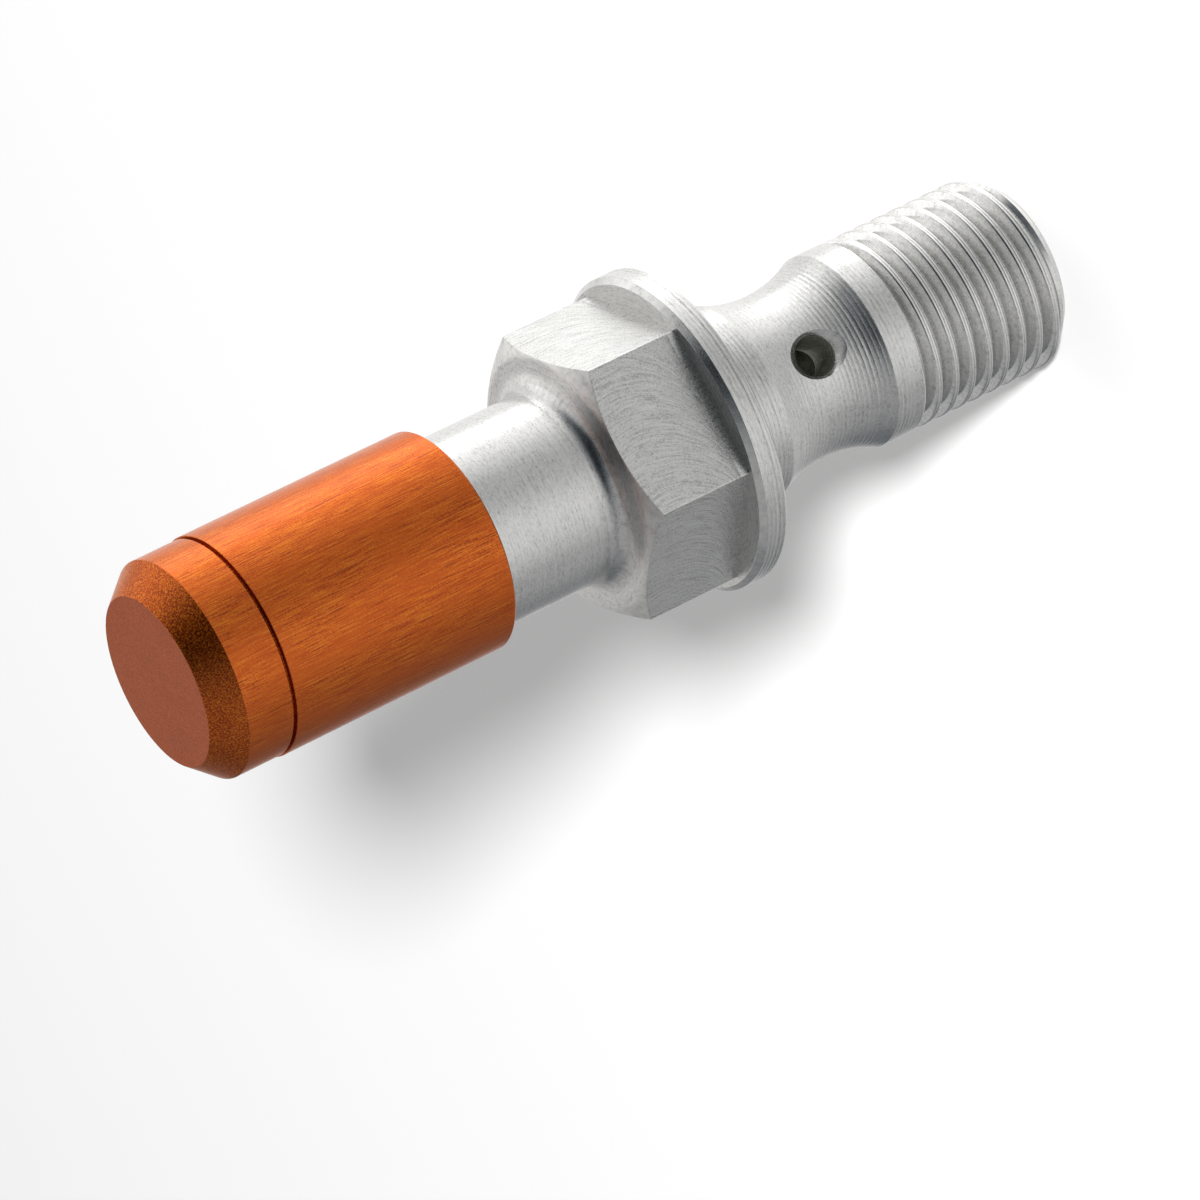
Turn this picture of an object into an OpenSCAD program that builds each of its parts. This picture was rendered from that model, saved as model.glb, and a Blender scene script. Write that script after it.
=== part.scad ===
// Banjo bolt with a bleed valve inside its head and a dust cap over the valve.
// It stands on the end of its thread: +Z runs up the bolt's axis to the cap, and the origin is
// the centre of the thread's end face. The cross-drilling runs along Y, through two opposite
// flats of the hexagon. All sizes are in millimetres.

/* [Shank] */
// Diameter of the M10 thread over its crests, and of the two plain lands
shank_d = 9.92; // [9.8:0.02:9.98]
// Length from the washer seat to the thread's end
shank_l = 19.4; // [19:0.1:24]
// Pitch of the M10 fine thread
pitch = 1; // [0.75:0.25:1.25]
// Length of the threaded stretch
thread_l = 9.2; // [8:0.1:9.6]
// Diameter of the flat end face inside the lead-in chamfer
end_face_d = 8.2; // [7.8:0.1:8.8]
// Height of the lead-in chamfer
lead_in_h = 1; // [0.6:0.1:1.4]

/* [Waist] */
// Diameter at the narrowest point of the waist
waist_d = 8.5; // [8:0.1:9.2]
// Radius of the waist's hollow curve
waist_curve_r = 7; // [5:0.5:9]
// Height of the narrowest point
waist_z = 13.65; // [13:0.05:14.4]

/* [Drillings] */
// Diameter of the central fluid bore
bore_d = 3; // [2.6:0.1:3.4]
// Diameter of the cross-drilling
cross_d = 2; // [1.6:0.1:2.4]
// Diameter of the cross-drilling's countersink at the waist's surface
cross_sink_d = 2.7; // [2.5:0.1:3.2]

/* [Flange and hexagon] */
// Diameter of the flange
flange_d = 16.1; // [15.4:0.1:18]
// Thickness of the flange
flange_h = 1.43; // [1.2:0.01:2]
// Width of the bevel round the flange's upper edge
flange_bevel = 0.27; // [0.1:0.01:0.4]
// Width across the hexagon's flats
hex_af = 13; // [12:0.5:13.5]
// Height of the hexagon
hex_h = 5.5; // [5:0.1:7]
// Diameter of the hexagon's flat top ring, where its corner chamfer starts
hex_ring_d = 12.94; // [12:0.01:12.96]
// Angle of the corner chamfer
hex_chamfer_deg = 30; // [15:1:35]

/* [Neck] */
// Outer diameter of the neck, which is the valve's housing
neck_d = 9.6; // [9.2:0.1:9.6]
// Height of the neck above the hexagon
neck_h = 11.2; // [11.2:0.1:11.4]
// Radius of the fillet where the neck meets the hexagon
neck_fillet_r = 0.95; // [0.4:0.05:1.4]
// Length of neck that shows below the cap
neck_shown = 6.75; // [6.6:0.05:6.9]

/* [Dust cap] */
// Outer diameter of the cap
cap_d = 11.12; // [10.9:0.02:11.6]
// Outer diameter of the cap's nose, above its groove
nose_d = 10.98; // [10.8:0.02:11.1]
// Diameter of the cap's flat end face
cap_face_d = 8.58; // [8:0.02:9.4]
// Height of the cap
cap_h = 16.2; // [16.2:0.1:17]
// Height of the chamfer round the end face
cap_chamfer_h = 1.4; // [1:0.1:1.8]
// Thickness of the cap's end wall
cap_end_t = 1.36; // [1:0.02:1.4]
// Distance from the end face to the groove's lower side
cap_groove_at = 3.98; // [3:0.02:5]
// Width of the groove
cap_groove_w = 0.24; // [0.15:0.01:0.4]
// Depth of the groove below the nose
cap_groove_depth = 0.36; // [0.2:0.02:0.4]
// Radial gap between the cap and the neck
cap_gap = 0.1; // [0.08:0.01:0.15]

/* [Bleed valve] */
// Diameter of the valve screw's thread, drawn at the pitch line
valve_thread_d = 6.3; // [6:0.05:6.35]
// Width across the flats of the valve screw's hexagon
valve_af = 7; // [6:0.5:7]
// Diameter of the hose barb
barb_d = 5.8; // [5.2:0.1:6]
// Diameter of the passage through the valve screw
passage_d = 1.5; // [1.2:0.1:1.6]
// Diameter of the chamber round the check ball and its spring
chamber_d = 2.5; // [2.4:0.1:2.8]
// Diameter of the check ball
ball_d = 2; // [1.8:0.1:2]
// Diameter of the spring's wire
wire_d = 0.24; // [0.18:0.01:0.26]
// Number of turns of the spring
spring_turns = 6; // [4:1:8]

/* [Hidden] */
$fn = 96;

// Radii of what is given above as diameters
shank_r = shank_d / 2;
bore_r = bore_d / 2;
flange_r = flange_d / 2;
neck_r = neck_d / 2;
cap_r = cap_d / 2;
nose_r = nose_d / 2;

// Heights of the bolt's faces
flange_top = shank_l + flange_h;
hex_top = flange_top + hex_h;
neck_top = hex_top + neck_h;
cap_rim = hex_top + neck_shown;
cap_top = cap_rim + cap_h;

// Section of a 60 degree thread groove: its depth, and its width at the crests and at the root
thread_depth = 0.6134;
groove_mouth = 7 / 8;
groove_root = 1 / 6;

// Cuts run this much past the faces that they open
over = 0.5;
edge_break = 0.1;
end_sink = 0.3;
neck_chamfer = 0.4;

// The housing's stepped bore, from the fluid bore up: valve seat, seal bore and valve thread
seat_z = 21.6;
seal_bore_r = 2.75;
seat_top = seat_z + seal_bore_r - bore_r;
seal_bore_top = 27;
valve_gap = 0.05;
housing_r = valve_thread_d / 2 + valve_gap;

// The valve screw, from its cone up. It is drawn closed, just clear of its seat
seat_gap = 0.03;
cone_tip_r = 1;
nose_shank_r = 2.2;
cone_tip_z = seat_z + cone_tip_r - bore_r + seat_gap;
cone_top = cone_tip_z + nose_shank_r - cone_tip_r;
seal_shank_r = 2.65;
seal_shank_z = 24.4;
seal_shank_top = 26.8;
valve_thread_z = 28.2;
valve_thread_top = 36.8;
thread_relief_r = 2.6;
screw_hex_z = neck_top + 0.47;
screw_hex_top = screw_hex_z + 3;
screw_hex_bevel = 0.45;
screw_top = 46.4;
inlet_d = 1.2;
inlet_z = 23.3;
passage_z = 22.7;

// The hose nipple's section, above the valve screw's hexagon
nipple_root_r = 2.7;
nipple_neck_r = 2.35;
nipple_neck_z = screw_hex_top + 0.5;
barb_z = screw_top - 2;
barb_edge_h = 0.35;
nipple_tip_r = 2.05;

// Grooves for the two sealing rings, and the rings' own sections
screw_groove_z = 25;
screw_groove_w = 0.9;
screw_groove_r = 2;
screw_ring_wire_r = 0.35;
cap_groove_ring_z = 34.4;
cap_groove_ring_w = 1.1;
cap_groove_ring_r = 4;
cap_ring_wire_r = 0.43;

// Inside of the cap: a wide bore over the neck, a shoulder that rests on it, and a narrower bore
cap_bore_r = neck_r + cap_gap;
cap_shoulder_z = neck_top + 0.05;
cap_inner_r = 4.4;
cap_mouth_bevel = 0.25;

// Check ball, its conical seat, the spring and the bush that holds the spring in
ball_r = ball_d / 2;
ball_seat_z = 38.6;
ball_z = ball_seat_z + 0.7 + (ball_r - 1) * sqrt(2);
bush_z = 44.6;
bush_h = 1.5;
bush_gap = 0.01;
bush_bore_r = 0.6;
spring_gap = 0.02;
coil_r = 0.85;
coil_z0 = ball_z + sqrt(pow(ball_r + wire_d / 2, 2) - coil_r * coil_r) + spring_gap;
coil_z1 = bush_z - wire_d / 2 - spring_gap;
coil_steps = 20;
wire_sides = 8;

STEEL = [0.72, 0.73, 0.74];
ORANGE = [0.74, 0.34, 0.11];
RUBBER = [0.09, 0.09, 0.1];
BRASS = [0.76, 0.62, 0.34];

// A straight-sided ring or disc by its radii and its two heights
module turned(r, z0, z1) {
    translate([0, 0, z0]) cylinder(r = r, h = z1 - z0);
}

// A cone by its radii at two heights
module tapered(r0, r1, z0, z1) {
    translate([0, 0, z0]) cylinder(r1 = r0, r2 = r1, h = z1 - z0);
}

// A square-bottomed groove round a shaft
module ring_groove(outer_r, floor_r, z, width) {
    rotate_extrude()
        translate([floor_r, z]) square([outer_r - floor_r + over, width]);
}

// The grooves of an outside thread, one per pitch, downwards from its upper end.
// They are closed rings at the thread's true pitch and section.
module thread_grooves(crest_r, step, z_low, z_high) {
    root_r = crest_r - thread_depth * step;
    mouth = groove_mouth * step / 2;
    root = groove_root * step / 2;
    flare = (mouth - root) / (crest_r - root_r);
    lip = mouth + flare * over;
    rotate_extrude()
        for (z = [z_high - mouth : -step : z_low + root])
            polygon([[root_r, z - root], [crest_r + over, z - lip],
                     [crest_r + over, z + lip], [root_r, z + root]]);
}

// A hexagonal prism with flats facing along Y, its top corners cut back by a cone
module spanner_hexagon(across, z0, z1, ring_r, angle) {
    corner_r = across / sqrt(3);
    drop = (corner_r - ring_r) * tan(angle);
    intersection() {
        turned_hexagon(across, z0, z1);
        union() {
            turned(corner_r + over, z0 - over, z1 - drop);
            tapered(corner_r, ring_r, z1 - drop, z1);
        }
    }
}

module turned_hexagon(across, z0, z1) {
    translate([0, 0, z0])
        linear_extrude(z1 - z0) circle(d = across * 2 / sqrt(3), $fn = 6);
}

// Concave fillet that runs from a flat face out of a shaft
module shaft_fillet(shaft_r, z, r) {
    rotate_extrude()
        difference() {
            translate([shaft_r - over, z - over]) square([over + r, over + r]);
            translate([shaft_r + r, z + r]) circle(r = r);
            translate([shaft_r - over, z + r]) square([2 * over + r, over]);
        }
}

module shank() {
    difference() {
        union() {
            tapered(end_face_d / 2, shank_r, 0, lead_in_h);
            turned(shank_r, lead_in_h, shank_l + flange_h / 2);
        }
        rotate_extrude()
            translate([waist_d / 2 + waist_curve_r, waist_z]) circle(r = waist_curve_r, $fn = 180);
        thread_grooves(shank_r, pitch, 0, thread_l);
    }
}

module flange() {
    tapered(flange_r - edge_break, flange_r, shank_l, shank_l + edge_break);
    turned(flange_r, shank_l + edge_break, flange_top - flange_bevel);
    tapered(flange_r, flange_r - flange_bevel, flange_top - flange_bevel, flange_top);
}

module neck() {
    shaft_fillet(neck_r, hex_top, neck_fillet_r);
    turned(neck_r, flange_top, neck_top - neck_chamfer);
    tapered(neck_r, neck_r - neck_chamfer, neck_top - neck_chamfer, neck_top);
}

// Everything that is drilled or bored along the axis
module axial_bores() {
    turned(bore_r, -over, seat_z);
    tapered(bore_r + end_sink, bore_r, 0, end_sink);
    turned(bore_r + end_sink, -over, 0);
    tapered(bore_r, seal_bore_r, seat_z, seat_top);
    turned(seal_bore_r, seat_top, seal_bore_top);
    tapered(seal_bore_r, housing_r, seal_bore_top, seal_bore_top + housing_r - seal_bore_r);
    turned(housing_r, seal_bore_top + housing_r - seal_bore_r, neck_top + over);
}

// The drilling across the waist, countersunk where it breaks out on both sides
module cross_drilling() {
    sink_depth = (cross_sink_d - cross_d) / 2;
    reach = waist_d / 2 + over;
    translate([0, 0, waist_z])
        rotate([90, 0, 0]) {
            cylinder(d = cross_d, h = 2 * reach, center = true);
            for (side = [0, 180])
                rotate([side, 0, 0])
                    translate([0, 0, waist_d / 2 - sink_depth])
                        cylinder(r1 = cross_d / 2, r2 = cross_d / 2 + sink_depth + over,
                                 h = sink_depth + over);
        }
}

module bolt_body() {
    color(STEEL)
        difference() {
            union() {
                shank();
                flange();
                spanner_hexagon(hex_af, flange_top, hex_top, hex_ring_d / 2, hex_chamfer_deg);
                neck();
            }
            axial_bores();
            cross_drilling();
            ring_groove(neck_r, cap_groove_ring_r, cap_groove_ring_z, cap_groove_ring_w);
        }
}

module dust_cap() {
    nose_z = cap_top - cap_groove_at;
    color(ORANGE)
        difference() {
            union() {
                tapered(cap_r - edge_break, cap_r, cap_rim, cap_rim + edge_break);
                turned(cap_r, cap_rim + edge_break, nose_z);
                turned(nose_r, nose_z, cap_top - cap_chamfer_h);
                tapered(nose_r, cap_face_d / 2, cap_top - cap_chamfer_h, cap_top);
            }
            ring_groove(nose_r, nose_r - cap_groove_depth, nose_z, cap_groove_w);
            tapered(cap_bore_r + cap_mouth_bevel, cap_bore_r, cap_rim, cap_rim + cap_mouth_bevel);
            turned(cap_bore_r, cap_rim - over, cap_shoulder_z);
            turned(cap_inner_r, cap_shoulder_z - over, cap_top - cap_end_t);
        }
}

// A sealing ring of round section
module o_ring(centre_r, wire_r, z) {
    rotate_extrude() translate([centre_r, z]) circle(r = wire_r, $fn = 36);
}

module cap_o_ring() {
    color(RUBBER)
        o_ring((cap_groove_ring_r + cap_bore_r) / 2, cap_ring_wire_r,
               cap_groove_ring_z + cap_groove_ring_w / 2);
}

module screw_o_ring() {
    color(RUBBER)
        o_ring((screw_groove_r + seal_bore_r) / 2, screw_ring_wire_r,
               screw_groove_z + screw_groove_w / 2);
}

// Half section of the valve screw below its hexagon
module valve_stem_section() {
    thread_r = valve_thread_d / 2;
    relief = thread_r - thread_relief_r;
    polygon([
        [0, cone_tip_z], [cone_tip_r, cone_tip_z], [nose_shank_r, cone_top],
        [nose_shank_r, seal_shank_z - seal_shank_r + nose_shank_r],
        [seal_shank_r, seal_shank_z], [seal_shank_r, screw_groove_z],
        [screw_groove_r, screw_groove_z], [screw_groove_r, screw_groove_z + screw_groove_w],
        [seal_shank_r, screw_groove_z + screw_groove_w], [seal_shank_r, seal_shank_top],
        [thread_relief_r, seal_shank_top], [thread_relief_r, valve_thread_z - relief],
        [thread_r, valve_thread_z], [thread_r, screw_hex_z + over], [0, screw_hex_z + over]
    ]);
}

// Half section of the hose nipple: a waist for the hose and one barb with a rounded back
module nipple_section() {
    barb_r = barb_d / 2;
    polygon([
        [0, screw_hex_top - over], [nipple_root_r, screw_hex_top - over],
        [nipple_root_r, screw_hex_top], [nipple_neck_r, nipple_neck_z],
        [nipple_neck_r, barb_z - barb_edge_h], [barb_r, barb_z],
        [barb_r, barb_z + barb_edge_h], [nipple_tip_r, screw_top], [0, screw_top]
    ]);
}

module bleed_screw() {
    color(STEEL)
        difference() {
            union() {
                rotate_extrude() valve_stem_section();
                spanner_hexagon(valve_af, screw_hex_z, screw_hex_top,
                                valve_af / 2 - 0.05, hex_chamfer_deg);
                rotate_extrude() nipple_section();
            }
            thread_grooves(valve_thread_d / 2, pitch, valve_thread_z, valve_thread_top);
            turned(passage_d / 2, passage_z, ball_seat_z);
            tapered(passage_d / 2, chamber_d / 2, ball_seat_z,
                    ball_seat_z + (chamber_d - passage_d) / 2);
            turned(chamber_d / 2, ball_seat_z + (chamber_d - passage_d) / 2, screw_top + over);
            translate([0, 0, inlet_z])
                rotate([0, 90, 0]) cylinder(d = inlet_d, h = 4 * nose_shank_r, center = true);
        }
}

module check_ball() {
    color(STEEL) translate([0, 0, ball_z]) sphere(d = ball_d);
}

// One corner of the spring's wire: step i along the coil, corner j round the wire.
// The pitch eases to nothing over the end turns, so the spring closes flat on both ends.
function coil_share(t) = t - sin(360 * t) / 360 * 180 / PI * 0.6;
function coil_point(i, j) =
    let (t = i / (coil_steps * spring_turns),
         turn = 360 * spring_turns * t,
         across = coil_r + wire_d / 2 * cos(360 * j / wire_sides))
    [across * cos(turn), across * sin(turn),
     coil_z0 + (coil_z1 - coil_z0) * coil_share(t) + wire_d / 2 * sin(360 * j / wire_sides)];

module check_spring() {
    last = coil_steps * spring_turns;
    points = [for (i = [0 : last], j = [0 : wire_sides - 1]) coil_point(i, j)];
    function at(i, j) = i * wire_sides + j % wire_sides;
    sides = [for (i = [0 : last - 1], j = [0 : wire_sides - 1], half = [0, 1])
             half == 0 ? [at(i, j), at(i, j + 1), at(i + 1, j + 1)]
                       : [at(i, j), at(i + 1, j + 1), at(i + 1, j)]];
    first_end = [for (j = [wire_sides - 1 : -1 : 0]) at(0, j)];
    last_end = [for (j = [0 : wire_sides - 1]) at(last, j)];
    color(STEEL) polyhedron(points, concat(sides, [first_end, last_end]));
}

module spring_bush() {
    color(BRASS)
        difference() {
            turned(chamber_d / 2 - bush_gap, bush_z, bush_z + bush_h);
            turned(bush_bore_r, bush_z - over, bush_z + bush_h + over);
            tapered(bush_bore_r, bush_bore_r + end_sink, bush_z + bush_h - end_sink,
                    bush_z + bush_h + 0.001);
        }
}

bolt_body();
dust_cap();
cap_o_ring();
bleed_screw();
screw_o_ring();
check_ball();
check_spring();
spring_bush();
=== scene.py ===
import math

import bmesh
import bpy
import numpy as np
from mathutils import Matrix, Vector

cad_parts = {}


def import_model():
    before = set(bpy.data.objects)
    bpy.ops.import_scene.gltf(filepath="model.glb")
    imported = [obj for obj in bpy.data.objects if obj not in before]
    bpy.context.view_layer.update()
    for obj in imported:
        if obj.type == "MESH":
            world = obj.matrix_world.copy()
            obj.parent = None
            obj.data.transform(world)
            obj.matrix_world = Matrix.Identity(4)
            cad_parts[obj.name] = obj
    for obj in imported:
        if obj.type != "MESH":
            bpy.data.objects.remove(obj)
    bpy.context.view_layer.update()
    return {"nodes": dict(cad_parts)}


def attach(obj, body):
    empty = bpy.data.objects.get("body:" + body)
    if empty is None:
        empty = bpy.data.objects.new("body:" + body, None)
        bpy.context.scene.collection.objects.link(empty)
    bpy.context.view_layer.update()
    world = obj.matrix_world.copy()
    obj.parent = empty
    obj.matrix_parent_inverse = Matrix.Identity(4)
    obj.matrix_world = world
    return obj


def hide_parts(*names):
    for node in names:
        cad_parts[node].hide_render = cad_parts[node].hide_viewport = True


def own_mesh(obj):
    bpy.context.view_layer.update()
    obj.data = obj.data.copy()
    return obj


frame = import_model()
nodes = frame["nodes"]

# Everything below is worked out in millimetres and scaled once, when a mesh is made.
MM = 0.001

# Sizes shared with the part's own construction. _R is a radius, _Z a height above the thread's
# end face.
SHANK_R, WAIST_R, WAIST_CURVE, WAIST_Z = 4.96, 4.25, 7.0, 13.65
END_FACE_R, LEAD_IN_H = 4.1, 1.0
PITCH, THREAD_DEPTH, ROOT = 1.0, 0.6134, 1 / 12
SEAT_Z, FLANGE_R, FLANGE_TOP, FLANGE_BEVEL = 19.4, 8.05, 20.83, 0.27
HEX_AF, HEX_TOP, HEX_RING_R, HEX_CORNER_R = 13.0, 26.33, 6.47, 0.1
NECK_R, NECK_TOP, FILLET_R = 4.8, 37.53, 0.95
RING_GROOVE_R, RING_GROOVE_Z, RING_GROOVE_TOP = 4.0, 34.4, 35.5
FLUID_R, VALVE_R, VALVE_FLOOR, VALVE_TOP, SEAL_R = 1.5, 2.75, 22.85, 27.0, 3.2
BORE_SINK, DRILL_R, DRILL_SINK = 0.3, 1.0, 3.9
CAP_RIM, CAP_TOP, CAP_R, NOSE_R, CAP_GROOVE_Z = 33.08, 49.28, 5.56, 5.49, 45.3
CAP_FACE_R, CAP_CHAMFER_H = 4.29, 1.4
CAP_ROOF, CAP_STEP, CAP_CLEAR_R, CAP_SKIRT_R = 47.92, 37.58, 4.4, 4.9

# Angle in degrees from which an edge is sharp, and distance in metres at which points merge
SHARP, WELD = 28.0, 1.5e-8


# Materials. Patterns are laid out in millimetres; a noise's scale is in steps a millimetre.

GRAIN_SCALE = 13.0


def shade(tint, factor):
    return tuple(c * factor for c in tint)


class Nodes:
    """A material's node tree with short ways to add and join nodes."""

    def __init__(self, name):
        self.mat = bpy.data.materials.new(name)
        self.mat.use_nodes = True
        self.tree = self.mat.node_tree
        self.bsdf = self.tree.nodes["Principled BSDF"]
        # object coordinates in millimetres
        coord = self.add("ShaderNodeTexCoord")
        self.mm = self.add("ShaderNodeVectorMath", operation="SCALE")
        self.link(coord.outputs["Object"], self.mm.inputs[0])
        self.mm.inputs["Scale"].default_value = 1 / MM

    def add(self, kind, **settings):
        node = self.tree.nodes.new(kind)
        for key, value in settings.items():
            setattr(node, key, value)
        return node

    def link(self, a, b):
        self.tree.links.new(a, b)

    def put(self, socket, value):
        if isinstance(value, (int, float)):
            socket.default_value = value
        else:
            self.link(value, socket)

    def math(self, operation, a, b=0.0):
        node = self.add("ShaderNodeMath", operation=operation)
        self.put(node.inputs[0], a)
        self.put(node.inputs[1], b)
        return node.outputs[0]

    def split(self, vector):
        node = self.add("ShaderNodeSeparateXYZ")
        self.link(vector, node.inputs[0])
        return node.outputs

    def join(self, x, y, z):
        node = self.add("ShaderNodeCombineXYZ")
        for socket, value in zip(node.inputs, (x, y, z)):
            self.put(socket, value)
        return node.outputs[0]

    def polar(self):
        """Radius, angle and height of the shaded point, in millimetres and radians."""
        x, y, z = self.split(self.mm.outputs[0])
        radius = self.math("SQRT", self.math("ADD", self.math("MULTIPLY", x, x),
                                             self.math("MULTIPLY", y, y)))
        return radius, self.math("ARCTAN2", y, x), z

    def circle(self, angle, radius):
        """The angle as a place on a circle, so that a pattern closes on its way round."""
        return (self.math("MULTIPLY", self.math("COSINE", angle), radius),
                self.math("MULTIPLY", self.math("SINE", angle), radius))

    def mix(self, *parts):
        """Sum of patterns, each a (pattern, weight) pair."""
        total = None
        for pattern, weight in parts:
            part = self.math("MULTIPLY", pattern, weight)
            total = part if total is None else self.math("ADD", total, part)
        return total

    def noise(self, vector, scale, detail, roughness=0.55):
        node = self.add("ShaderNodeTexNoise", noise_dimensions="3D")
        self.link(vector, node.inputs["Vector"])
        node.inputs["Scale"].default_value = scale
        node.inputs["Detail"].default_value = detail
        node.inputs["Roughness"].default_value = roughness
        return node.outputs["Fac"]

    def grain(self, scale=GRAIN_SCALE, detail=1.0, roughness=0.5):
        """Fine noise in the solid's own space."""
        return self.noise(self.mm.outputs[0], scale, detail, roughness)

    def noise_1d(self, w, scale, detail, roughness=0.6):
        node = self.add("ShaderNodeTexNoise", noise_dimensions="1D")
        self.put(node.inputs["W"], w)
        node.inputs["Scale"].default_value = scale
        node.inputs["Detail"].default_value = detail
        node.inputs["Roughness"].default_value = roughness
        return node.outputs["Fac"]

    def span(self, value, low, high, to_low, to_high):
        node = self.add("ShaderNodeMapRange", clamp=True)
        self.put(node.inputs["Value"], value)
        for socket, number in zip(("From Min", "From Max", "To Min", "To Max"),
                                  (low, high, to_low, to_high)):
            node.inputs[socket].default_value = number
        return node.outputs["Result"]

    def ramp(self, value, stops):
        node = self.add("ShaderNodeValToRGB")
        self.link(value, node.inputs["Fac"])
        while len(node.color_ramp.elements) < len(stops):
            node.color_ramp.elements.new(0.5)
        for element, (place, colour) in zip(node.color_ramp.elements, stops):
            element.position = place
            element.color = (*colour, 1.0)
        return node.outputs["Color"]

    def bump(self, height, distance_mm, normal=None):
        node = self.add("ShaderNodeBump")
        node.inputs["Strength"].default_value = 1.0
        node.inputs["Distance"].default_value = distance_mm * MM
        self.link(height, node.inputs["Height"])
        if normal is not None:
            self.link(normal, node.inputs["Normal"])
        return node.outputs["Normal"]

    def finish(self, colour, roughness, normal=None, metallic=1.0, anisotropic=0.0,
               coat=0.0, coat_roughness=0.3, specular=0.5):
        """Fills in the shader. Anisotropic highlights spread across the cut, along the axis."""
        b = self.bsdf.inputs
        if isinstance(colour, tuple):
            b["Base Color"].default_value = (*colour, 1.0)
        else:
            self.link(colour, b["Base Color"])
        self.put(b["Roughness"], roughness)
        b["Metallic"].default_value = metallic
        b["Specular IOR Level"].default_value = specular
        b["Anisotropic"].default_value = anisotropic
        b["Anisotropic Rotation"].default_value = 0.25
        b["Coat Weight"].default_value = coat
        b["Coat Roughness"].default_value = coat_roughness
        if anisotropic:
            tangent = self.add("ShaderNodeTangent", direction_type="RADIAL", axis="Z")
            self.link(tangent.outputs[0], b["Tangent"])
        if normal is not None:
            self.link(normal, b["Normal"])
        return self.mat


def turned_steel(name, tint, rough, ring_depth, grain_depth, contrast, dashes=0.3,
                 anisotropic=0.45):
    """Lathe-turned steel: rings round the axis of uneven depth, a grain of short dashes that
    run with the cut, and small dark pits. The rings and lines round the axis also darken the
    colour along them, painted shade in the turning grooves. dashes is how short they are, and
    contrast how much the colour varies."""
    n = Nodes(name)
    radius, angle, z = n.polar()
    # grows along the surface on shafts, cones and flat faces alike
    along = n.math("ADD", z, n.math("MULTIPLY", radius, 0.83))
    rings = n.noise_1d(along, 5.0, 4.0, 0.75)
    around = n.circle(angle, 5.0)
    # lines that come and go on their way round
    wander = n.noise(n.join(*(n.math("MULTIPLY", a, 0.5) for a in around),
                            n.math("MULTIPLY", along, 8.0)), 1.0, 3.0, 0.65)
    dash = n.noise(n.join(*(n.math("MULTIPLY", a, dashes) for a in around), along),
                   GRAIN_SCALE, 1.0, 0.5)
    grain = n.grain()
    patches = n.grain(0.9, 3.0, 0.6)
    # the rings' and lines' share of the tone darkens the colour along them: painted shade in the
    # grooves, over the steel's own uneven tone
    tone = n.mix((grain, 0.30), (dash, 0.35), (wander, 0.20), (rings, 0.15))
    colour = n.ramp(tone, [(0.37, shade(tint, 1 - 1.5 * contrast)),
                           (0.43, shade(tint, 1 - 0.6 * contrast)),
                           (0.50, tint), (0.60, shade(tint, 1 + 0.5 * contrast))])
    roughness = n.math("ADD", n.span(patches, 0.3, 0.7, rough - 0.03, rough + 0.04),
                       n.span(grain, 0.35, 0.7, -0.03, 0.05))
    normal = n.bump(rings, ring_depth)
    normal = n.bump(wander, ring_depth * 0.6, normal)
    normal = n.bump(n.math("ADD", grain, dash), grain_depth, normal)
    return n.finish(colour, roughness, normal, anisotropic=anisotropic)


# The end mill's radius, and the height above the flange of the line its centre moved along
MILL_R, MILL_LINE = 3.95, 4.4


def milled_steel(name, tint, rough):
    """The hexagon's flats: an end mill's close-set arcs, each shifted along the flat from the
    last, over a fine grain."""
    n = Nodes(name)
    uv = n.add("ShaderNodeUVMap", uv_map="flat").outputs[0]
    u, v, _ = n.split(uv)
    across = n.math("SUBTRACT", v, MILL_LINE)
    rise = n.math("SQRT", n.math("MAXIMUM", n.math("SUBTRACT", MILL_R ** 2,
                                                   n.math("MULTIPLY", across, across)), 0.05))
    bend = n.grain(1.3, 2.0, 0.55)
    phase = n.math("ADD", n.math("SUBTRACT", u, rise), n.math("MULTIPLY", bend, 0.12))
    arcs = n.noise(n.join(n.math("MULTIPLY", phase, 14.0), n.math("MULTIPLY", u, 0.5),
                          n.math("MULTIPLY", v, 0.6)), 1.0, 1.0, 0.5)
    broken = n.noise(n.join(n.math("MULTIPLY", phase, 24.0), n.math("MULTIPLY", u, 1.5),
                            n.math("MULTIPLY", v, 1.5)), 1.0, 1.0, 0.5)
    grain = n.grain()
    tone = n.mix((grain, 0.38), (broken, 0.26), (arcs, 0.36))
    colour = n.ramp(tone, [(0.38, shade(tint, 0.66)), (0.45, shade(tint, 0.87)),
                           (0.51, tint), (0.60, shade(tint, 1.14))])
    roughness = n.span(grain, 0.3, 0.7, rough - 0.04, rough + 0.06)
    normal = n.bump(arcs, 0.0105)
    normal = n.bump(broken, 0.0075, normal)
    normal = n.bump(grain, 0.0060, normal)
    return n.finish(colour, roughness, normal)


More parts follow.
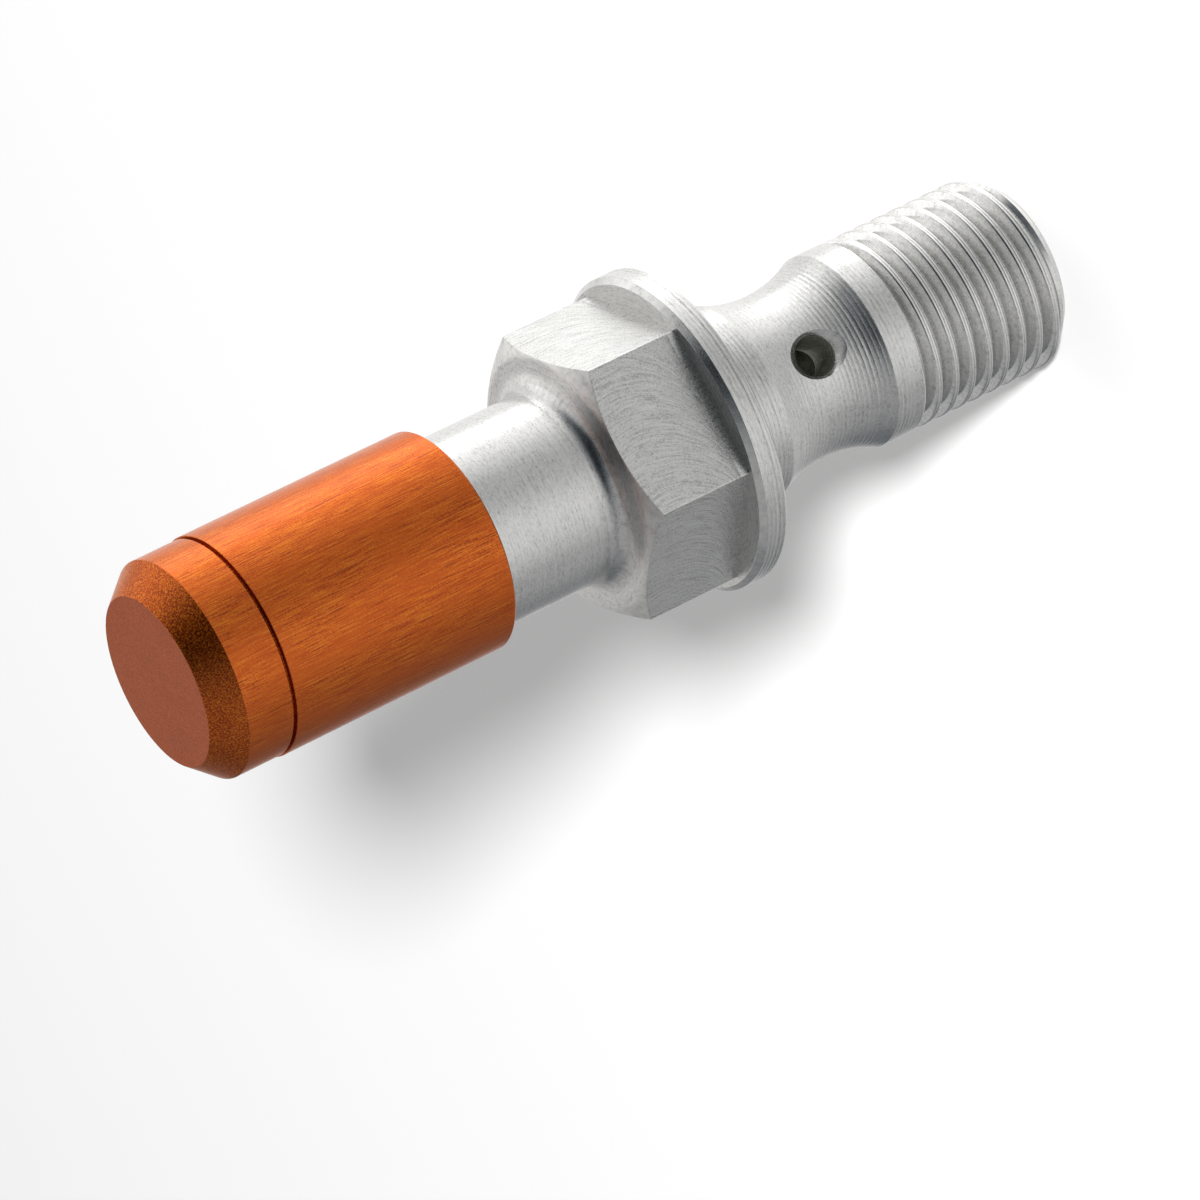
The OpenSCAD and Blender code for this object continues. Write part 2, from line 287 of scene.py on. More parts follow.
def anodised(name, brushed, tint, dark, rough, coat, grain_depth=0.010, sparkle=1.0):
    """Orange anodised aluminium, either brushed along the axis or finely blasted. dark is the
    colour between the bright specks and streaks, which are painted glints, and sparkle how much
    those stand out."""
    n = Nodes(name)
    grain = n.grain()
    # a lighter, yellower orange for the brightest specks and streaks: painted glints over the
    # anodising's own uneven tone
    glint_gold = tuple(c * k for c, k in zip(tint, (1.15, 1.7, 2.0)))
    if brushed:
        _, angle, z = n.polar()
        circle = n.circle(angle, 5.5)
        streaks = n.noise(n.join(*circle, n.math("MULTIPLY", z, 0.030)), 20.0, 0.0, 0.5)
        scratches = n.noise(n.join(*circle, n.math("MULTIPLY", z, 0.034)), 32.0, 0.0, 0.5)
        strength = n.noise(n.join(*circle, n.math("MULTIPLY", z, 0.3)), 0.9, 2.0, 0.5)
        tone = n.mix((streaks, 0.32), (scratches, 0.34), (grain, 0.34))
        # the streaks stand out more in some places than in others
        tone = n.math("ADD", 0.5, n.math("MULTIPLY", n.math("SUBTRACT", tone, 0.5),
                                         n.span(strength, 0.35, 0.65, 0.55, 1.25)))
        colour = n.ramp(tone, [(0.35, shade(dark, 0.6)), (0.43, dark), (0.53, tint),
                               (0.63, glint_gold)])
        roughness = n.span(tone, 0.38, 0.62, rough + 0.05, rough - 0.04)
        normal = n.bump(streaks, 0.005)
        normal = n.bump(scratches, 0.004, normal)
        normal = n.bump(grain, grain_depth * 0.6, normal)
    else:
        patches = n.grain(0.7, 3.0, 0.6)
        tone = n.mix((grain, 0.85), (patches, 0.15))
        spread = 0.16 / sparkle
        colour = n.ramp(tone, [(0.5 - spread, shade(dark, 0.6)), (0.48, dark),
                               (0.5 + 0.4 * spread, tint), (0.5 + 1.2 * spread, glint_gold)])
        roughness = n.span(grain, 0.3, 0.7, rough - 0.05, rough + 0.07)
        normal = n.bump(grain, grain_depth)
    # the metal's mirror image stays orange towards its edges
    n.bsdf.inputs["Specular Tint"].default_value = (1.0, 0.70, 0.55, 1.0)
    return n.finish(colour, roughness, normal, coat=coat, coat_roughness=0.11)


def rubber(name):
    n = Nodes(name)
    grain = n.grain(14.0, 3.0, 0.55)
    colour = n.ramp(grain, [(0.35, (0.012, 0.012, 0.013)), (0.65, (0.03, 0.03, 0.031))])
    return n.finish(colour, n.span(grain, 0.3, 0.7, 0.5, 0.68), n.bump(grain, 0.01), metallic=0.0)


def plain_metal(name, tint, rough, ring_depth=0.003):
    """A small turned or drawn piece: faint rings, a little grain."""
    n = Nodes(name)
    radius, _, z = n.polar()
    rings = n.noise_1d(n.math("ADD", z, n.math("MULTIPLY", radius, 0.7)), 18.0, 2.0)
    grain = n.grain(20.0, 3.0, 0.55)
    colour = n.ramp(grain, [(0.3, shade(tint, 0.88)), (0.7, tint)])
    normal = n.bump(grain, 0.002, n.bump(rings, ring_depth))
    return n.finish(colour, n.span(grain, 0.3, 0.7, rough - 0.03, rough + 0.04), normal)


turned = turned_steel("bolt_steel_turned", (0.67, 0.672, 0.67), 0.22, 0.0040, 0.0028, 0.21)
neck_steel = turned_steel("bolt_steel_neck", (0.67, 0.672, 0.67), 0.20, 0.0018, 0.0025, 0.21)
facing = turned_steel("bolt_steel_facing", (0.67, 0.665, 0.655), 0.36, 0.0040, 0.0060, 0.24,
                      anisotropic=0.0)
flank = turned_steel("bolt_steel_flank", (0.68, 0.677, 0.667), 0.37, 0.0030, 0.0060, 0.26,
                     dashes=0.8, anisotropic=0.0)
# lighter than the flanks: a painted highlight along the crests, besides their smoother finish
crest = turned_steel("bolt_steel_crest", (0.78, 0.782, 0.78), 0.12, 0.0010, 0.0016, 0.18,
                     anisotropic=0.0)
milled = milled_steel("bolt_steel_milled", (0.665, 0.67, 0.665), 0.30)
bored = turned_steel("bolt_steel_bored", (0.64, 0.64, 0.59), 0.42, 0.0040, 0.0050, 0.20)
cap_brushed = anodised("cap_brushed", True, (0.62, 0.118, 0.007), (0.51, 0.083, 0.004), 0.29, 0.42)
cap_blasted = anodised("cap_blasted", False, (0.62, 0.125, 0.010), (0.46, 0.075, 0.006), 0.33, 0.3,
                       grain_depth=0.014, sparkle=1.3)
cap_face = anodised("cap_face", False, (0.50, 0.104, 0.030), (0.44, 0.086, 0.022), 0.50, 0.30,
                    sparkle=0.8)
cap_inside = anodised("cap_inside", False, (0.60, 0.13, 0.018), (0.40, 0.07, 0.010), 0.40, 0.0)
screw_steel = plain_metal("valve_steel", (0.60, 0.60, 0.585), 0.27)
seal_rubber = rubber("seal_rubber")


# Shapes of revolution

def rounded(points):
    """Replaces each corner that has a radius by an arc, with a point just before and after it.
    Takes (r, z, corner radius, material of the next stretch); gives (r, z, material)."""
    steps, hold = 3, 0.02
    out = []
    last = len(points) - 1
    for i, (r, z, radius, mat) in enumerate(points):
        here = Vector((r, z))
        if i in (0, last) or radius <= 0:
            out.append((r, z, mat))
            continue
        before = Vector(points[i - 1][:2]) - here
        after = Vector(points[i + 1][:2]) - here
        la, lb = before.length, after.length
        before.normalize()
        after.normalize()
        half = before.angle(after) / 2
        if half > math.radians(88):  # straight on
            out.append((r, z, mat))
            continue
        cut = min(radius / math.tan(half), 0.45 * la, 0.45 * lb)
        arc_r = cut * math.tan(half)
        centre = here + (before + after).normalized() * (arc_r / math.sin(half))
        start = here + before * cut - centre
        end = here + after * cut - centre
        was = points[i - 1][3]
        if la > cut + 3 * hold:
            p = centre + start + before * hold
            out.append((p.x, p.y, was))
        turn = start.angle_signed(end)
        for k in range(steps + 1):
            a = -turn * k / steps
            v = Vector((start.x * math.cos(a) - start.y * math.sin(a),
                        start.x * math.sin(a) + start.y * math.cos(a))) + centre
            out.append((v.x, v.y, was if k < steps // 2 + 1 else mat))
        if lb > cut + 3 * hold:
            p = centre + end + after * hold
            out.append((p.x, p.y, mat))
    return out


def columns(count, corners=()):
    """Angles round the axis, closer together at the corners given."""
    full = 2 * math.pi
    ends = (0.0, round(full, 9))
    near = math.radians(1.0)
    angles = {round(full * i / count, 9) for i in range(count + 1)}
    for corner in corners:
        angles = {a for a in angles
                  if a in ends or min(abs(a - corner), full - abs(a - corner)) > near}
        for step in (-0.9, -0.42, -0.21, 0.0, 0.21, 0.42, 0.9):
            a = corner + math.radians(step)
            if 0 <= a <= full:
                angles.add(round(a, 9))
    return np.array(sorted(angles))


def smooth(mesh):
    mesh.polygons.foreach_set("use_smooth", [True] * len(mesh.polygons))
    mesh.set_sharp_from_angle(angle=math.radians(SHARP))


class Rows:
    """A surface of rows round the axis. Each row gives a radius and a height in every column,
    and the material of the strip up to the next row. The last column repeats the first."""

    def __init__(self, theta):
        self.theta = theta
        self.r, self.z, self.mat = [], [], []

    def add(self, r, z, mat):
        one = np.ones_like(self.theta)
        self.r.append(one * r)
        self.z.append(one * z)
        self.mat.append(mat)

    def polyline(self, points):
        for r, z, mat in points:
            self.add(r, z, mat)

    def mesh(self, name, materials, uv=None):
        """The object. uv gives the flats' map from the points and the quads."""
        r, z = np.array(self.r), np.array(self.z)
        rows, cols = r.shape
        co = np.stack([r * np.cos(self.theta), r * np.sin(self.theta), z], -1).reshape(-1, 3) * MM
        i = np.arange(rows - 1)[:, None] * cols + np.arange(cols - 1)[None, :]
        quads = np.stack([i, i + 1, i + cols + 1, i + cols], -1).reshape(-1, 4)
        strip = np.repeat(np.array(self.mat[:-1]), cols - 1)
        mesh = bpy.data.meshes.new(name)
        mesh.from_pydata(co.tolist(), [], quads.tolist())
        mesh.polygons.foreach_set("material_index", strip.astype(np.int32))
        if uv is not None:
            layer = mesh.uv_layers.new(name="flat")
            layer.data.foreach_set("uv", uv(co / MM, quads).astype(np.float32).ravel())
        for mat in materials:
            mesh.materials.append(mat)
        bm = bmesh.new()
        bm.from_mesh(mesh)
        bmesh.ops.remove_doubles(bm, verts=bm.verts, dist=WELD)
        bmesh.ops.dissolve_degenerate(bm, edges=bm.edges, dist=WELD)
        bmesh.ops.recalc_face_normals(bm, faces=bm.faces)
        bm.to_mesh(mesh)
        bm.free()
        smooth(mesh)
        obj = bpy.data.objects.new(name, mesh)
        bpy.context.scene.collection.objects.link(obj)
        return obj


# Materials of the bolt body, in the order of its slots
TURNED, NECK, FLANK, MILLED, BORED, FACING, CREST = range(7)

# Angles of the hexagon's corners, the first one again at the end of the turn
CORNERS = [k * math.pi / 3 for k in range(7)]

# The hexagon's turned end: its slope, and the reach of the curve at the flat ring's rim
CHAMFER = math.tan(math.radians(30))
CROWN = 0.25


def hexagon(theta):
    """Distance from the axis to a hexagon with flats facing along Y, its corners just rounded."""
    corner = HEX_AF / math.sqrt(3)
    off = np.abs((theta + math.pi / 6) % (math.pi / 3) - math.pi / 6)
    flat = HEX_AF / 2 / np.cos(math.pi / 6 - off)
    centre = corner - HEX_CORNER_R / math.sin(math.pi / 3)
    under = np.clip(HEX_CORNER_R ** 2 - (centre * np.sin(off)) ** 2, 0, None)
    arc = centre * np.cos(off) + np.sqrt(under)
    touch = math.atan2(HEX_CORNER_R / 2, centre + HEX_CORNER_R * math.cos(math.pi / 6))
    return np.where(off < touch, np.minimum(arc, flat), flat)


def crown(outside):
    """Drop of the hexagon's turned end below its flat top ring, at a distance outside the
    ring's rim: a 30 degree chamfer that runs into the ring in a soft curve."""
    curve = np.clip(outside + CROWN, 0, None) ** 2 * CHAMFER / (4 * CROWN)
    return np.where(outside > CROWN, outside * CHAMFER, curve)


def hexagon_rows(rows):
    """Sides and turned end of the hexagon, up to the flat top ring. The edge between them is
    broken, by edge where the turned end is wide enough."""
    edge = 0.025
    r = hexagon(rows.theta)
    wide = r - HEX_RING_R
    z_edge = HEX_TOP - crown(wide)
    rows.add(r + 0.03, FLANGE_TOP, FACING)
    rows.add(r, FLANGE_TOP, MILLED)
    rows.add(r, FLANGE_TOP + 0.05, MILLED)
    rows.add(r, 0.5 * (FLANGE_TOP + z_edge), MILLED)
    rows.add(r, z_edge - 0.07, MILLED)
    rows.add(r, z_edge - edge, MILLED)
    inward = np.minimum(edge, 0.3 * wide)
    rows.add(r - 0.25 * inward, z_edge + 0.05 * inward, FACING)
    for share in (1.0, 2.4):
        rows.add(r - share * inward, HEX_TOP - crown(wide - share * inward), FACING)
    # across the ring's rim, drawn in where a flat comes close to it
    for step in (0.4, CROWN, 0.15, 0.05, -0.05, -0.15, -CROWN):
        place = np.minimum(step, 0.2 * wide) if step > 0 else step + 0 * wide
        rows.add(HEX_RING_R + place, HEX_TOP - crown(place), FACING)


# One period of the thread's groove runs from the middle of one crest to the next, as distance
# from the groove's middle and depth. Rolling rounds the crest's two edges to RIDGE_R about
# RIDGE_AT, and leaves a seam between them. The crest's material ends at the groove's MOUTH.
RIDGE_AT, RIDGE_R, SEAM = 0.432, 0.12, 0.03
RIDGE_ANGLES = (-35, -10, 12, 26, 42, 64)
MOUTH = RIDGE_AT - RIDGE_R * math.sin(math.radians(RIDGE_ANGLES[-1]))
CREST_DEPTH = RIDGE_R * (1 - math.cos(math.radians(RIDGE_ANGLES[-1])))

# Heights at angle 0: the middle of the uppermost groove, and of a groove whose cut starts to
# fade and has faded out
THREAD_FIRST, THREAD_FULL, THREAD_GONE = 7.996, 8.80, 9.04


def thread_groove():
    half = [(0.5, SEAM)]
    for angle in RIDGE_ANGLES:
        a = math.radians(angle)
        half.append((RIDGE_AT - RIDGE_R * math.sin(a), RIDGE_R * (1 - math.cos(a))))
    wall = [(*half[-1], 0, 0), (ROOT, THREAD_DEPTH, 0.05, 0), (0, THREAD_DEPTH, 0, 0)]
    half = half[:-1] + [(off, depth) for off, depth, _ in rounded(wall)]
    return [(-off, depth) for off, depth in half[:-1]] + half[::-1]


def thread_rows(rows, z_low, z_high):
    """Right-hand helical thread as rows that climb one pitch in a turn, from the bottom up."""
    groove = thread_groove()
    climb = rows.theta / (2 * math.pi) * PITCH
    above = int(math.ceil(z_high - THREAD_FIRST))
    below = int(math.ceil(THREAD_FIRST - z_low)) + 2
    for n in range(-below, above + 1):
        middle = THREAD_FIRST + n + climb
        share = np.clip((THREAD_GONE - middle) / (THREAD_GONE - THREAD_FULL), 0, 1)
        share = share * share * (3 - 2 * share)
        mouth = ROOT + (MOUTH - ROOT) * share
        for off, depth in groove:
            side = math.copysign(1, off)
            if abs(off) <= ROOT:
                shift = np.full_like(climb, off)
            elif abs(off) <= MOUTH:
                shift = side * (ROOT + (abs(off) - ROOT) * share)
            else:
                shift = side * (mouth + (abs(off) - MOUTH) * (0.5 - mouth) / (0.5 - MOUTH))
            z = middle + shift
            r = np.where((z > z_high) | (z < z_low), SHANK_R, SHANK_R - depth * share)
            z = np.clip(z, z_low, z_high)
            rows.add(np.minimum(r, lead_in(z)), z,
                     FLANK if depth > CREST_DEPTH + 0.001 else CREST)


def lead_in(z):
    """Radius of the blank at the thread's chamfered end."""
    return END_FACE_R + (SHANK_R - END_FACE_R) * np.clip(z / LEAD_IN_H, 0, None)


def waist_radius(z):
    """The lands and the waist's hollow curve between them, with its two edges just softened."""
    curve = WAIST_R + WAIST_CURVE - math.sqrt(max(WAIST_CURVE ** 2 - (z - WAIST_Z) ** 2, 0.0))
    soft, far = 0.012, 30
    gap = (SHANK_R - curve) / soft
    if gap > far:
        return curve
    if gap < -far:
        return SHANK_R
    return SHANK_R - soft * math.log1p(math.exp(gap))


# The turning tool's marks: their spacing, the heights between which they are cut, their depth
# above each height, and the share of that depth each mark has
FEED = 0.23
MARKS_FROM, MARKS_TO = 9.05, 20.5
MARK_DEPTHS = [(SEAT_Z, 0.0160), (16.9, 0.0125), (12.7, 0.0080), (10.5, 0.0095), (0.0, 0.0080)]
mark_share = np.random.default_rng(11).uniform(0.5, 1.3, int(MARKS_TO / FEED) + 2)

# Heights between which the flange's rim has them
RIM_LOW, RIM_HIGH = SEAT_Z + 0.2, FLANGE_TOP - FLANGE_BEVEL - 0.1


def feed_mark(z):
    """Depth of the turning tool's marks at a height, and its slope. Each mark is a shallow
    hollow one feed wide, and neighbouring hollows meet in a crest."""
    k = int(z / FEED)
    share = z / FEED - k - 0.5
    depth = next(depth for start, depth in MARK_DEPTHS if z > start)
    depth *= mark_share[k] * min(1.0, max(0.0, (z - MARKS_FROM) / 0.3))
    return depth * (1 - 4 * share * share), -8 * depth * share / FEED


def shank_surface(z):
    """Radius of the lands, waist and flange with the feed marks, and its slope along the axis."""
    depth, depth_slope = feed_mark(z)
    if z > SEAT_Z:
        return FLANGE_R - depth, -depth_slope
    step = 0.004
    slope = (waist_radius(z + step) - waist_radius(z - step)) / (2 * step)
    return waist_radius(z) - depth, slope - depth_slope


def feed_heights(z0, z1):
    """Heights of rows that follow the feed marks: one just inside each end of a mark, and two
    between."""
    for k in range(int(z0 / FEED), int(z1 / FEED) + 1):
        for share in (0.05, 0.35, 0.65, 0.95):
            z = (k + share) * FEED
            if z0 < z < z1:
                yield z


# Bolt body

def bolt_body():
    rows = Rows(columns(144, CORNERS))

    # end face, from the fluid bore outwards, then up the shank
    rows.polyline(rounded([(FLUID_R, BORE_SINK, 0, TURNED), (FLUID_R + BORE_SINK, 0, 0.04, TURNED),
                           (END_FACE_R, 0, 0, TURNED)]))
    thread_rows(rows, 0.0, MARKS_FROM)
    for z in feed_heights(MARKS_FROM, SEAT_Z - 0.02):
        rows.add(shank_surface(z)[0], z, TURNED)

    # flange, with an edge break below and a bevel above, up to the foot of the hexagon
    foot_r = 7.62
    rows.polyline(rounded([
        (SHANK_R, SEAT_Z - 0.015, 0, TURNED), (SHANK_R, SEAT_Z, 0, TURNED),
        (FLANGE_R - 0.1, SEAT_Z, 0.04, TURNED), (FLANGE_R, SEAT_Z + 0.1, 0.04, TURNED),
        (FLANGE_R, RIM_LOW, 0, TURNED)]))
    for z in feed_heights(RIM_LOW, RIM_HIGH):
        rows.add(shank_surface(z)[0], z, TURNED)
    rows.polyline(rounded([
        (FLANGE_R, RIM_HIGH, 0, TURNED), (FLANGE_R, FLANGE_TOP - FLANGE_BEVEL, 0.05, TURNED),
        (FLANGE_R - FLANGE_BEVEL, FLANGE_TOP, 0.04, FACING), (foot_r, FLANGE_TOP, 0, FACING)]))
    hexagon_rows(rows)

    # fillet, its first steps turned with the end face
    steps, faced = 12, 5
    for k in range(steps + 1):
        a = math.radians(90 * k / steps)
        rows.add(NECK_R + FILLET_R - FILLET_R * math.sin(a),
                 HEX_TOP + FILLET_R * (1 - math.cos(a)), FACING if k < faced else NECK)

    # neck with the cap ring's groove, then down the stepped bore and its seat to the end face,
    # with rows above and below the cross-drilling
    over_drill, under_drill = 16.0, 11.0
    rows.polyline(rounded([
        (NECK_R, HEX_TOP + FILLET_R + 0.02, 0, NECK), (NECK_R, RING_GROOVE_Z, 0.05, NECK),
        (RING_GROOVE_R, RING_GROOVE_Z, 0.1, NECK), (RING_GROOVE_R, RING_GROOVE_TOP, 0.1, NECK),
        (NECK_R, RING_GROOVE_TOP, 0.05, NECK), (NECK_R, NECK_TOP - 0.4, 0.05, NECK),
        (NECK_R - 0.4, NECK_TOP, 0.04, NECK), (SEAL_R + 0.15, NECK_TOP, 0.03, NECK),
        (SEAL_R, NECK_TOP - 0.15, 0.03, BORED), (SEAL_R, VALVE_TOP + SEAL_R - VALVE_R, 0, BORED),
        (VALVE_R, VALVE_TOP, 0, BORED), (VALVE_R, VALVE_FLOOR, 0, BORED),
        (FLUID_R, VALVE_FLOOR - VALVE_R + FLUID_R, 0, BORED),
        (FLUID_R, over_drill, 0, BORED), (FLUID_R, under_drill, 0, BORED),
        (FLUID_R, BORE_SINK, 0, BORED)]))

    def flat_uv(co, quads):
        """Flats: place along and up each flat in millimetres, moved on from flat to flat."""
        centre = co[quads].mean(1)
        k = np.round((np.arctan2(centre[:, 1], centre[:, 0]) - math.pi / 6) / (math.pi / 3))
        a = math.pi / 6 + k * math.pi / 3
        x, y = co[quads][..., 0], co[quads][..., 1]
        u = -x * np.sin(a)[:, None] + y * np.cos(a)[:, None]
        return np.stack([u + 0.9 * k[:, None], co[quads][..., 2] - FLANGE_TOP], -1)

    materials = [turned, neck_steel, flank, milled, bored, facing, crest]
    body = rows.mesh("bolt_body_finished", materials, uv=flat_uv)
    drill = cross_drill(materials)
    cut = body.modifiers.new("cross_drilling", "BOOLEAN")
    cut.operation = "DIFFERENCE"
    cut.solver = "EXACT"
    cut.object = drill
    apply_modifiers(body)
    bpy.data.objects.remove(drill)
    smooth(body.data)
    true_normals(body.data)
    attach(body, "bolt")
    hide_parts("bolt_body")


def cross_drill(materials):
    """Solid to cut away: the drilling through the waist, with a countersink at both ends."""
    segments, cone, reach = 72, 1.35, 6.0
    half = [(0.0, reach), (DRILL_R + cone, reach), (DRILL_R + cone, DRILL_SINK + cone),
            (DRILL_R + 0.02, DRILL_SINK + 0.02), (DRILL_R, DRILL_SINK - 0.02)]
    profile = [(r, -y) for r, y in half] + [(DRILL_R, 0.0)] + half[::-1]
    mesh = bpy.data.meshes.new("drill")
    bm = bmesh.new()
    rings = []
    for r, y in profile:
        angles = [2 * math.pi * k / segments for k in range(segments if r else 1)]
        rings.append([bm.verts.new((r * MM * math.cos(a), y * MM,
                                    WAIST_Z * MM + r * MM * math.sin(a))) for a in angles])
    for i, (low, high) in enumerate(zip(rings[:-1], rings[1:])):
        wall = BORED if max(profile[i][0], profile[i + 1][0]) < DRILL_R + 0.01 else NECK
        for k in range(segments):
            j = (k + 1) % segments
            if len(low) == 1:
                corners = (low[0], high[k], high[j])
            elif len(high) == 1:
                corners = (low[k], high[0], low[j])
            else:
                corners = (low[k], high[k], high[j], low[j])
            bm.faces.new(corners).material_index = wall
    bmesh.ops.recalc_face_normals(bm, faces=bm.faces)
    bm.to_mesh(mesh)
    bm.free()
    for mat in materials:
        mesh.materials.append(mat)
    drill = bpy.data.objects.new("drill", mesh)
    bpy.context.scene.collection.objects.link(drill)
    return drill


def true_normals(mesh):
    """Gives the corners on the lands, the waist and the flange's rim the exact normal of the
    turned profile, so that the feed marks are crisp and the long faces round the drilling shade
    evenly. The drilling's countersink has another material, and keeps its own normals."""
    corner = np.empty(len(mesh.loops) * 3)
    mesh.corner_normals.foreach_get("vector", corner)
    corner = corner.reshape(-1, 3)
    co = np.array([v.co for v in mesh.vertices]) / MM
    for face in mesh.polygons:
        if face.material_index != TURNED:
            continue
        for loop in face.loop_indices:
            x, y, z = co[mesh.loops[loop].vertex_index]
            if not (MARKS_FROM + 0.05 < z < SEAT_Z - 0.03 or RIM_LOW < z < RIM_HIGH):
                continue
            radius, slope = shank_surface(z)
            here = math.hypot(x, y)
            if abs(here - radius) > 0.006:
                continue
            normal = Vector((x, y, -slope * here)).normalized()
            if normal.dot(face.normal) > 0.8:
                corner[loop] = normal
    mesh.normals_split_custom_set(corner.tolist())


def apply_modifiers(obj):
    depsgraph = bpy.context.evaluated_depsgraph_get()
    mesh = bpy.data.meshes.new_from_object(obj.evaluated_get(depsgraph), depsgraph=depsgraph)
    obj.modifiers.clear()
    old = obj.data
    obj.data = mesh
    bpy.data.meshes.remove(old)


# Dust cap

def dust_cap():
    brushed, blasted, face, inside = range(4)
    # as wide and deep as the photograph shows it, which is less than in the solid
    groove_w, groove_depth = 0.16, 0.2
    groove_top = CAP_GROOVE_Z + groove_w
    groove_r = NOSE_R - groove_depth
    rows = Rows(columns(180))
    rows.polyline(rounded([
        (0.0, CAP_ROOF, 0, inside), (CAP_CLEAR_R, CAP_ROOF, 0.15, inside),
        (CAP_CLEAR_R, CAP_STEP, 0.03, inside), (CAP_SKIRT_R, CAP_STEP, 0.03, inside),
        (CAP_SKIRT_R, CAP_RIM + 0.25, 0.04, inside),
        (CAP_SKIRT_R + 0.25, CAP_RIM, 0.04, brushed), (CAP_R - 0.1, CAP_RIM, 0.05, brushed),
        (CAP_R, CAP_RIM + 0.1, 0.05, brushed), (CAP_R, CAP_GROOVE_Z, 0.035, blasted),
        (groove_r, CAP_GROOVE_Z, 0.03, blasted), (groove_r, groove_top, 0.03, blasted),
        (NOSE_R, groove_top, 0.035, brushed), (NOSE_R, CAP_TOP - CAP_CHAMFER_H, 0.05, blasted),
        (CAP_FACE_R, CAP_TOP, 0.05, face), (2.0, CAP_TOP, 0, face), (0.0, CAP_TOP, 0, face)]))
    cap = rows.mesh("dust_cap_finished", [cap_brushed, cap_blasted, cap_face, cap_inside])
    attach(cap, "cap")
    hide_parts("dust_cap")


bolt_body()
dust_cap()

# The other pieces keep their solids' shapes
for name, mat in (("cap_o_ring", seal_rubber), ("screw_o_ring", seal_rubber),
                  ("bleed_screw", screw_steel),
                  ("check_ball", plain_metal("ball_steel", (0.7, 0.7, 0.7), 0.08, 0.0004)),
                  ("check_spring", plain_metal("spring_steel", (0.5, 0.5, 0.5), 0.22)),
                  ("spring_bush", plain_metal("bush_brass", (0.62, 0.45, 0.18), 0.25))):
    mesh = nodes[name].data
    mesh.materials.clear()
    mesh.materials.append(mat)


def check_spring():
    """The check valve's spring between the ball and the bush, as a copy of its solid carried with
    the valve screw.
    """
    node = nodes["check_spring"]
    spring = bpy.data.objects.new("check_spring_finished", node.data.copy())
    bpy.context.scene.collection.objects.link(spring)
    spring.matrix_world = node.matrix_world
    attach(spring, "valve_screw")
    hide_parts("check_spring")
    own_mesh(spring)


check_spring()


# Stage

def stage():
    """A plain pale floor. Metal mirrors the world's soft boxes in its place."""
    size = 1.5
    mesh = bpy.data.meshes.new("floor")
    mesh.from_pydata([(-size, -size, 0), (size, -size, 0), (size, size, 0), (-size, size, 0)],
                     [], [(0, 1, 2, 3)])
    floor = bpy.data.objects.new("floor", mesh)
    n = Nodes("floor_paper")
    n.finish((0.82, 0.82, 0.82), 0.9, metallic=0.0, specular=0.0)
    mesh.materials.append(n.mat)
    bpy.context.scene.collection.objects.link(floor)
    floor.visible_glossy = False
    floor.visible_shadow = False


def lamp(name, where, target, size, power):
    """A round lamp for the floor and for matt pieces, which metal doesn't mirror."""
    data = bpy.data.lights.new(name, "AREA")
    data.shape = "DISK"
    data.size = size
    data.energy = power
    obj = bpy.data.objects.new(name, data)
    obj.location = where
    obj.rotation_mode = "QUATERNION"
    obj.rotation_quaternion = (Vector(target) - Vector(where)).to_track_quat("-Z", "Y")
    obj.visible_glossy = False
    bpy.context.scene.collection.objects.link(obj)


# The studio that metal mirrors: soft boxes of light all round, brightest beside and below the
# bolt and darkest round the camera. Each is a direction, the angles from it at which it has
# faded out and is full, and its strength. The narrow one is the bright line along the bolt.
BASE_LEVEL = 0.02
SOFT_BOXES = [
    ((0.77, 0.61, -0.17), 75, 25, 0.54),
    ((0.77, 0.61, -0.17), 110, 35, 0.22),
    ((0.88, 0.20, -0.42), 17, 5, 0.75),
    ((0.92, -0.11, -0.37), 45, 12, 0.26),
    ((0.66, 0.34, 0.67), 45, 12, 0.56),
    ((0.05, 0.90, 0.42), 45, 12, 0.25),
    ((-0.73, 0.19, 0.66), 75, 25, 0.23),
    ((-0.59, 0.02, 0.81), 45, 12, 0.17),
    ((-0.65, -0.73, -0.22), 45, 12, 0.18),
    ((-0.35, -0.89, -0.31), 45, 12, 0.09),
    ((-0.79, -0.34, -0.51), 75, 25, 0.13),
    ((0.17, -0.26, -0.95), 110, 35, 0.53),
]


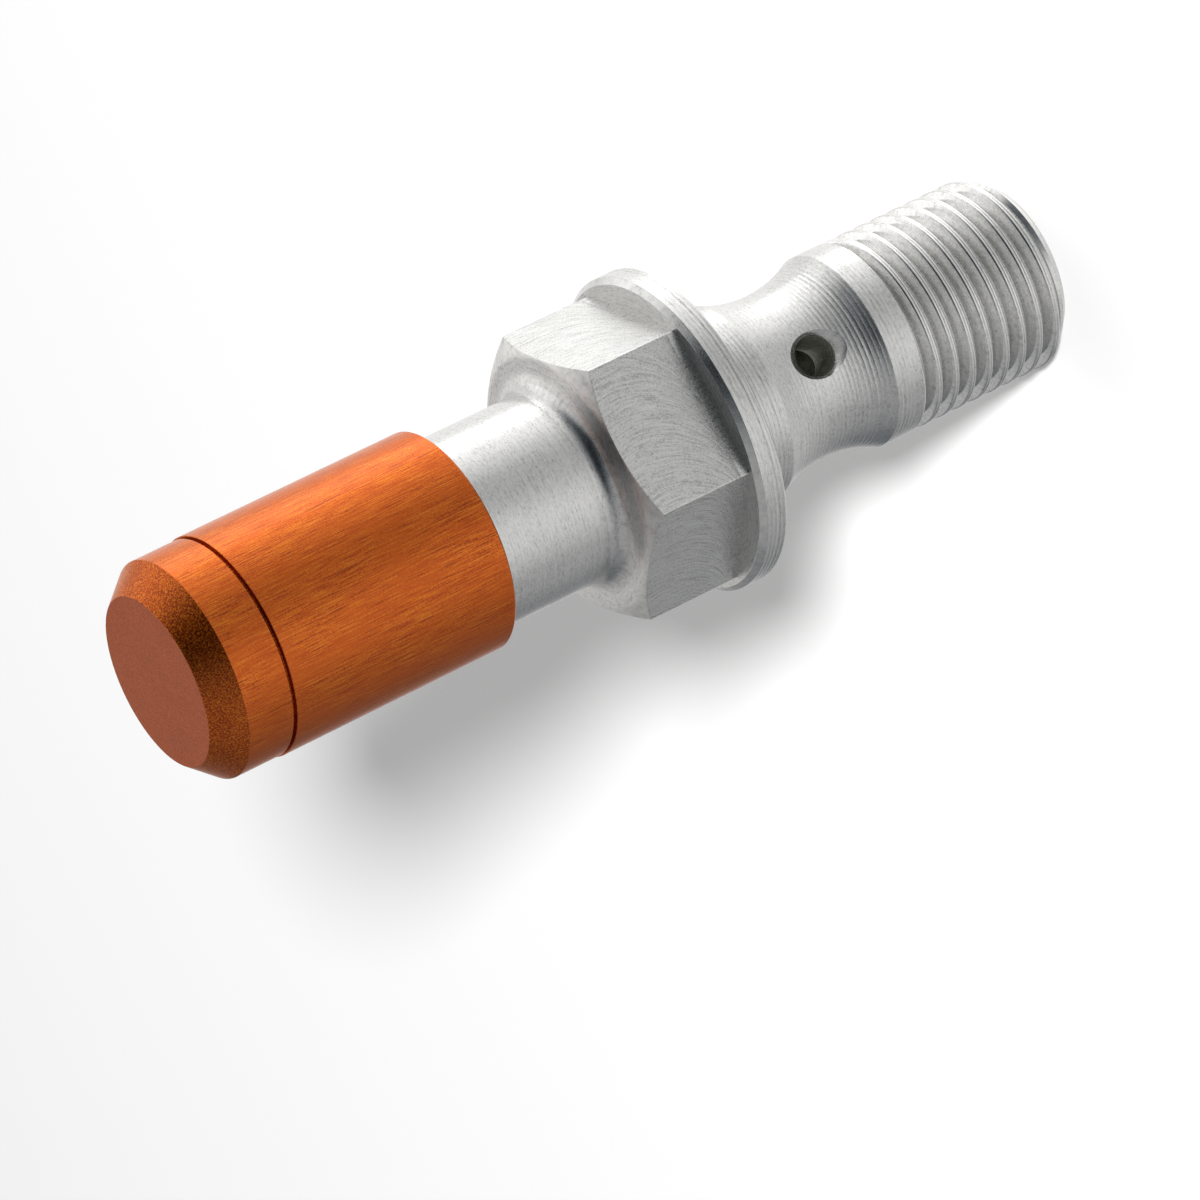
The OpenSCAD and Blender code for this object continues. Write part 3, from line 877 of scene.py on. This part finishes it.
def world():
    w = bpy.data.worlds.new("studio")
    w.use_nodes = True
    bpy.context.scene.world = w
    tree = w.node_tree
    background = tree.nodes["Background"]
    coord = tree.nodes.new("ShaderNodeTexCoord")

    def soft_box(direction, fades, full, strength):
        dot = tree.nodes.new("ShaderNodeVectorMath")
        dot.operation = "DOT_PRODUCT"
        tree.links.new(coord.outputs["Generated"], dot.inputs[0])
        dot.inputs[1].default_value = Vector(direction).normalized()
        span = tree.nodes.new("ShaderNodeMapRange")
        span.interpolation_type = "SMOOTHSTEP"
        tree.links.new(dot.outputs["Value"], span.inputs["Value"])
        span.inputs["From Min"].default_value = math.cos(math.radians(fades))
        span.inputs["From Max"].default_value = math.cos(math.radians(full))
        span.inputs["To Min"].default_value = 0.0
        span.inputs["To Max"].default_value = strength
        return span.outputs["Result"]

    total = None
    for box in SOFT_BOXES:
        add = tree.nodes.new("ShaderNodeMath")
        add.operation = "ADD"
        tree.links.new(soft_box(*box), add.inputs[0])
        if total is None:
            add.inputs[1].default_value = BASE_LEVEL
        else:
            tree.links.new(total, add.inputs[1])
        total = add.outputs[0]
    tree.links.new(total, background.inputs["Strength"])
    # a little cooler where it is dark, a little warmer where it is bright
    tint = tree.nodes.new("ShaderNodeValToRGB")
    tree.links.new(total, tint.inputs["Fac"])
    dark, bright = tint.color_ramp.elements
    dark.position, dark.color = 0.0, (0.84, 0.97, 1.08, 1.0)
    bright.position, bright.color = 0.9, (1.01, 1.0, 0.98, 1.0)
    tint.color_ramp.elements.new(0.35).color = (1.0, 1.0, 1.0, 1.0)
    tree.links.new(tint.outputs["Color"], background.inputs["Color"])
    w.cycles.sampling_method = "NONE"


def camera():
    """The photograph's camera, solved from the bolt's outline."""
    focal_px, photo_px = 8694.4, 1200
    data = bpy.data.cameras.new("camera")
    data.sensor_fit = "HORIZONTAL"
    data.sensor_width = 36.0
    data.lens = focal_px / photo_px * data.sensor_width
    data.clip_start, data.clip_end = 0.01, 10.0
    obj = bpy.data.objects.new("camera", data)
    right = Vector((-0.46341, -0.35245, -0.81304))
    up = Vector((0.88470, -0.23643, -0.40176))
    back = Vector((-0.05062, -0.90547, 0.42137))
    matrix = Matrix((right, up, back)).transposed().to_4x4()
    matrix.translation = Vector((-26.168, -367.706, 198.711)) * MM
    obj.matrix_world = matrix
    bpy.context.scene.collection.objects.link(obj)
    bpy.context.scene.camera = obj


stage()
lamp("key", (0.030, -1.0075, 0.525), (0.0, 0.08, 0.0), 0.12, 24.0)
lamp("fill", (0.05, 0.25, 0.75), (0.0, 0.15, 0.0), 0.6, 0.5)
world()
camera()
bpy.context.scene.view_settings.view_transform = "Standard"
